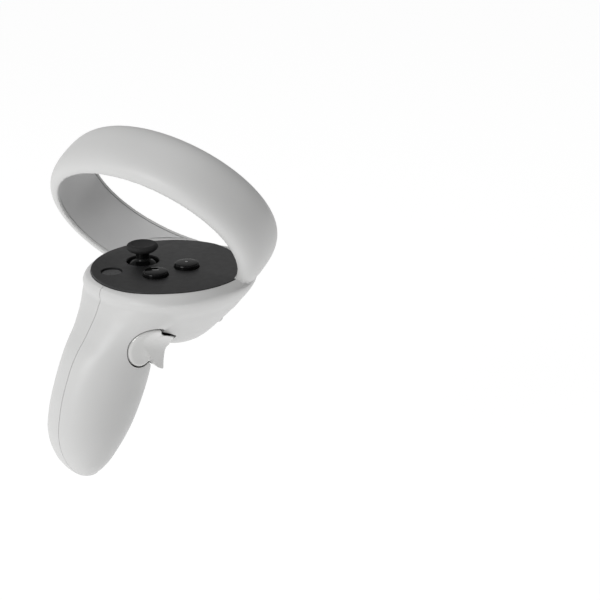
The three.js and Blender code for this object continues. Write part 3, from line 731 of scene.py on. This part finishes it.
def medial_side(name, shift, side):
    """All space on one side of the parting plane: 1 is the thumb's side."""
    edge = SPLIT["x"] + shift
    low, high = (edge, 120) if side > 0 else (-120, edge)
    return block(name, (low, -120, -120), (high, 120, 120), SPLIT["slope"])


def strap_slot():
    return block("slot", (-3.2, -47.3, -83), (4.2, -41.7, -75))


def housing():
    whole = net_object("housing_whole", body, (-62, -62, -82), (48, 42, 62), STEP)
    cut(whole, net_object("hollow", hollow, (-36, -60, -80), (36, 38, 2), 1.4))
    cut(whole, plate_pocket())
    cut(whole, net_object("grip_room", grip_room, (0, -40, -50), (27, 4, -8), 0.5))
    cut(whole, net_object("index_room", index_room, (-13, 6, -34), (12, 36, -6), 0.6))
    cut(whole, strap_slot())
    lateral = copy_of(whole, "housing_lateral_shell")
    cut(lateral, medial_side("half", 0, -1), "INTERSECT")
    cut(lateral, ring_loft("ring_gap", [(-0.3, -13.2)] + skin_section(SEAM) + [(-0.3, 13.2)]))
    largest_part(lateral)
    beyond = medial_side("half", SEAM, -1)
    cut(beyond, ring_loft("ring_kept", [(-0.3, -13.2)] + skin_section(0.0) + [(-0.3, 13.2)]))
    medial = cut(whole, beyond)
    edge = RING["width"] / 2 - RING["rim"]
    deep = RING["web"] + 0.3
    channel = ring_loft("channel", [(-2, -edge), (deep, -edge), (deep, edge), (-2, edge)])
    cut(channel, head_loft("head", 0))
    cut(medial, channel)
    largest_part(medial)
    medial.name = "housing_medial_shell"
    return medial, lateral


def ring_cover():
    edge, web = RING["width"] / 2 - RING["rim"] - SEAM, RING["web"]
    face = 0.12  # how far the cover's face lies inside the ring's lips
    corners = [(web, 0), (web, -edge), (face, -edge), (face, edge), (web, edge), (web, 0)]
    section = rounded(corners, 0.35, 5)[:-1]
    cover = ring_loft("ring_cover_band", section)
    return largest_part(cut(cover, head_loft("head", 0.25)))


# ------------------------------------------------------------------ plate and controls
STICK = {"x": -11.8, "y": -5.1, "pivot": -8, "well": 6.7, "dome": 9, "skirt": 52, "neck": 3.2, "cap": 6.5}
X_AT, Y_AT, MENU_AT = (5.7, -10.7), (5.7, 4.6), (-9.3, -22)


def hole(radius, at, chamfer):
    return lathe(
        "hole",
        [(0, -6), (radius, -6), (radius, -chamfer), (radius + chamfer, 0.02), (radius + chamfer, 3), (0, 3)],
        at,
    )


def faceplate():
    rim = rounded([(0, -1.6), (PLATE_RADIUS, -1.6), (PLATE_RADIUS, 0), (0, 0)], 0.25, 4)
    plate = lathe("faceplate_skin", rim, segments=320)
    cut(plate, ring_loft("ring_gap", [(-0.15, -13.05)] + skin_section(0.15) + [(-0.15, 13.05)]))
    largest_part(plate)
    cut(plate, hole(STICK["well"], (STICK["x"], STICK["y"]), 0.35))
    for at in (X_AT, Y_AT):
        cut(plate, hole(5.2, at, 0.2))
    return cut(plate, hole(4.4, MENU_AT, 0.15))


def face_button(name, at):
    foot = [(0, -3.5), (2, -3.5), (2, -3.4), (5.9, -3.4), (5.9, -2.4), (5, -2.4)]
    crown = [(5, 1.15), (4.86, 1.5), (4.5, 1.78), (3.9, 1.93), (2.4, 2.04), (0, 2.1)]
    return lathe(name, foot + rounded([(5, -2.4)] + crown, 0.3, 4)[1:], at, 160)


def menu_button():
    dish = [(4.1, -2.2), (4.1, -0.85), (3.86, -0.7), (3.5, -0.74), (2.6, -0.95), (1.3, -1.07), (0, -1.1)]
    foot = [(0, -3.5), (1.6, -3.5), (1.6, -3), (5, -3), (5, -2.2)]
    return lathe("menu_button_cap", foot + dish, MENU_AT, 128)


def arc(radius, start, end, steps):
    t = np.radians(np.linspace(start, end, steps + 1))
    return [(radius * math.sin(a), STICK["pivot"] + radius * math.cos(a)) for a in t]


def stick_shaft():
    inner = STICK["dome"] - 0.8
    profile = [(0, -9.4), (1.6, -9.4)]
    profile += arc(inner, math.degrees(math.asin(1.6 / inner)), STICK["skirt"], 24)
    profile += arc(STICK["dome"], STICK["skirt"], math.degrees(math.asin(3.9 / STICK["dome"])), 24)
    profile += [(3.35, 0.35), (3.0, 0.8), (2.85, 1.6), (2.8, 3.7), (0, 3.7)]
    return lathe("thumbstick_stem", profile, (STICK["x"], STICK["y"]), 128)


def stick_cap():
    profile = [
        (0, 3.95), (2.6, 3.95), (4.2, 4.1), (5.2, 4.5), (5.95, 5.05), (6.4, 5.6), (6.5, 6.1), (6.42, 6.6),
        (6.15, 7.05), (5.7, 7.36), (5.2, 7.44), (4.7, 7.34), (4.1, 7.1), (3.2, 6.9), (1.6, 6.82), (0, 6.8),
    ]
    cap = lathe("thumbstick_grip", rounded(profile, 0.6, 4), (STICK["x"], STICK["y"]), 216)
    # a fine knurl round the rim
    for v in cap.data.vertices:
        x, y, z = v.co / MM
        dx, dy = x - STICK["x"], y - STICK["y"]
        r, t = math.hypot(dx, dy), math.atan2(dy, dx)
        if r > 5.8:
            swell = 1 + 0.006 * math.cos(54 * t) * smooth_step(5.8, 6.3, r)
            v.co = Vector((STICK["x"] + dx * swell, STICK["y"] + dy * swell, z)) * MM
    return cap


def mark_dot(name, at, radius):
    return lathe(name, [(0, 1.9), (radius, 1.9), (radius, 2.1), (radius - 0.06, 2.13), (0, 2.14)], at, 48)


def mark_bar(name, at, length, width, turn):
    """A short bar with round ends, flush in a button's crown."""
    c, s = math.cos(turn), math.sin(turn)
    t = np.linspace(-math.pi / 2, math.pi / 2, 13)
    edge = [(length / 2 + width / 2 * math.cos(a), width / 2 * math.sin(a)) for a in t]
    edge += [(-x, -y) for x, y in edge]
    rings = [[(at[0] + x * c - y * s, at[1] + x * s + y * c, z) for x, y in edge] for z in (1.9, 2.125)]
    return solid_object(name, *tube(rings, False))


def controls():
    finish(faceplate(), PLATE, "housing", "plate_black", "faceplate", sharp=40)
    finish(face_button("x_button_cap", X_AT), GLOSS, "x_button", "gloss_black", "x_button")
    finish(face_button("y_button_cap", Y_AT), GLOSS, "y_button", "gloss_black", "y_button")
    finish(mark_bar("x_button_mark", X_AT, 2.2, 0.5, 0.9), MARK, "x_button", "menu_grey")
    finish(mark_dot("y_button_mark", Y_AT, 0.6), MARK, "y_button", "menu_grey")
    finish(menu_button(), MENU_GREY, "menu_button", "menu_grey", "menu_button")
    finish(stick_shaft(), GLOSS, "stick", "gloss_black", "thumbstick_shaft")
    finish(stick_cap(), RUBBER, "stick", "rubber_black", "thumbstick_cap")


def triggers():
    grip = net_object("grip_trigger_lever", grip_form, (3.6, -34.5, -44), (22, -5, -11.5), 0.42)
    pivot = np.array(GRIP["pivot"])
    cut(grip, rod("bore", pivot - 14 * HANDLE_UP, pivot + 14 * HANDLE_UP, PIN_BORE))
    cut(grip, rod("magnet_bore", (4, -18, -22), (7.5, -18, -22), MAGNET_BORE))
    finish(largest_part(grip), TRIGGER, "grip_trigger", "trigger_grey", "grip_trigger", sharp=50)
    index = net_object("index_trigger_lever", index_form, (-11, 13.5, -30), (10, 32.5, -8), 0.5)
    y, z = INDEX["y"], INDEX["z"]
    cut(index, rod("bore", (INDEX["left"] - 3.2, y, z), (INDEX["right"] + 3.2, y, z), PIN_BORE))
    cut(index, rod("magnet_bore", (5, 13, -23), (5, 19.4, -23), MAGNET_BORE))
    finish(largest_part(index), SHELL, "index_trigger", "shell_grey", "index_trigger", sharp=50)


def shells():
    medial, lateral = housing()
    cover_room = block("cover_room", (-60, -80, -70), (-9, 40, -32))
    battery = net_object("battery_cover_shell", cover_form, (-19, -61, -73), (-5, -8, -29), 0.7)
    cut(battery, block("cover_edge", (-60, -80, -69.78), (-9.22, 40, -32.22)), "INTERSECT")
    cut(lateral, cover_room)
    finish(medial, SHELL, "housing", "shell_grey", "housing_medial")
    finish(lateral, SHELL, "housing", "shell_grey", "housing_lateral")
    finish(largest_part(battery), SHELL, "battery_cover", "shell_grey", "battery_cover")
    finish(ring_cover(), COVER, "housing", "shell_grey", "ring_inner_cover")


INNER = {
    NYLON: ("thumbstick_module", "thumbstick_carrier", "inner_frame", "battery_cradle"),
    STEEL: (
        "x_button_switch", "y_button_switch", "menu_button_switch", "thumbstick_gimbal",
        "index_trigger_pin", "index_trigger_spring", "index_trigger_magnet",
        "grip_trigger_pin", "grip_trigger_spring", "grip_trigger_magnet",
        "battery_contact_plate", "battery_contact_spring", "haptic_motor", "strap_anchor_bar",
        "housing_screw_head", "housing_screw_rear", "housing_screw_front",
    ),
    BOARD: ("main_board",),
    FLEX: ("led_flex_strip",),
    WRAP: ("battery_cell",),
}


def inner_parts():
    for material, names in INNER.items():
        for name in names:
            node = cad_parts[name]
            for index in range(max(1, len(node.material_slots))):
                if not node.material_slots:
                    node.data.materials.append(material)
                node.material_slots[index].material = material


# ------------------------------------------------------------------ stage, lights and camera
FLOOR = {"half": 14000, "z": -150}


def stage():
    half, z = FLOOR["half"], FLOOR["z"]
    corners = [(-half, -half, z), (half, -half, z), (half, half, z), (-half, half, z)]
    floor = mesh_object("floor", corners, [(0, 1, 2, 3)])
    paint = Paint("floor_white", (0.25, 0.25, 0.25), 0.8, specular=0.0).vary(0.002, 0.004, 0.02)
    paint.set("Emission Color", (1, 1, 1, 1))
    paint.set("Emission Strength", 0.86)
    floor.data.materials.append(paint.material)


def area(name, place, target, size, power):
    lamp = bpy.data.lights.new(name, "AREA")
    lamp.shape, lamp.size, lamp.energy = "DISK", size, power
    made = bpy.data.objects.new(name, lamp)
    bpy.context.scene.collection.objects.link(made)
    made.location = place
    made.rotation_euler = (Vector(target) - Vector(place)).to_track_quat("-Z", "Y").to_euler()


BRIGHT_SIDE = 240  # heading of the brighter half of the studio, degrees round from +X


def lights():
    world = bpy.data.worlds.new("studio")
    world.use_nodes = True
    tree = world.node_tree
    sky = tree.nodes["Background"]
    sky.inputs["Strength"].default_value = 1.0
    direction = tree.nodes.new("ShaderNodeTexCoord").outputs["Generated"]
    turn = tree.nodes.new("ShaderNodeMapping")
    turn.vector_type = "POINT"
    turn.inputs["Rotation"].default_value = (0, 0, math.radians(-BRIGHT_SIDE))
    fade = tree.nodes.new("ShaderNodeTexGradient")
    tones = tree.nodes.new("ShaderNodeValToRGB")
    tree.links.new(direction, turn.inputs["Vector"])
    spread = tree.nodes.new("ShaderNodeMapping")
    spread.vector_type = "POINT"
    spread.inputs["Location"].default_value = (0.5, 0, 0)
    spread.inputs["Scale"].default_value = (0.5, 0.5, 0.5)
    tree.links.new(turn.outputs["Vector"], spread.inputs["Vector"])
    tree.links.new(spread.outputs["Vector"], fade.inputs["Vector"])
    tree.links.new(fade.outputs["Fac"], tones.inputs["Fac"])
    dark, light = tones.color_ramp.elements
    dark.position, light.position = 0.12, 0.9
    dark.color, light.color = (0.2, 0.2, 0.2, 1), (0.72, 0.72, 0.72, 1)
    tree.links.new(tones.outputs["Color"], sky.inputs["Color"])
    bpy.context.scene.world = world
    middle = (0, -0.01, -0.01)
    area("key", (0.12, -0.96, 0.42), middle, 0.5, 3.6)
    area("top", (-0.15, 0.1, 1.0), middle, 0.7, 1.2)


CAMERA = {"at": (0.4525, -0.3098, 0.1993), "azimuth": 50, "elevation": 21.47, "lens": 85, "sensor": 36}


def camera():
    azimuth, elevation = math.radians(CAMERA["azimuth"]), math.radians(CAMERA["elevation"])
    level = math.cos(elevation)
    back = Vector((math.sin(azimuth) * level, -math.cos(azimuth) * level, math.sin(elevation)))
    lens = bpy.data.cameras.new("camera")
    lens.lens, lens.sensor_width = CAMERA["lens"], CAMERA["sensor"]
    lens.clip_start, lens.clip_end = 0.01, 50
    made = bpy.data.objects.new("camera", lens)
    bpy.context.scene.collection.objects.link(made)
    made.location = CAMERA["at"]
    made.rotation_euler = (-back).to_track_quat("-Z", "Y").to_euler()
    bpy.context.scene.camera = made
    bpy.context.scene.view_settings.view_transform = "Standard"


shells()
controls()
triggers()
inner_parts()
stage()
lights()
camera()
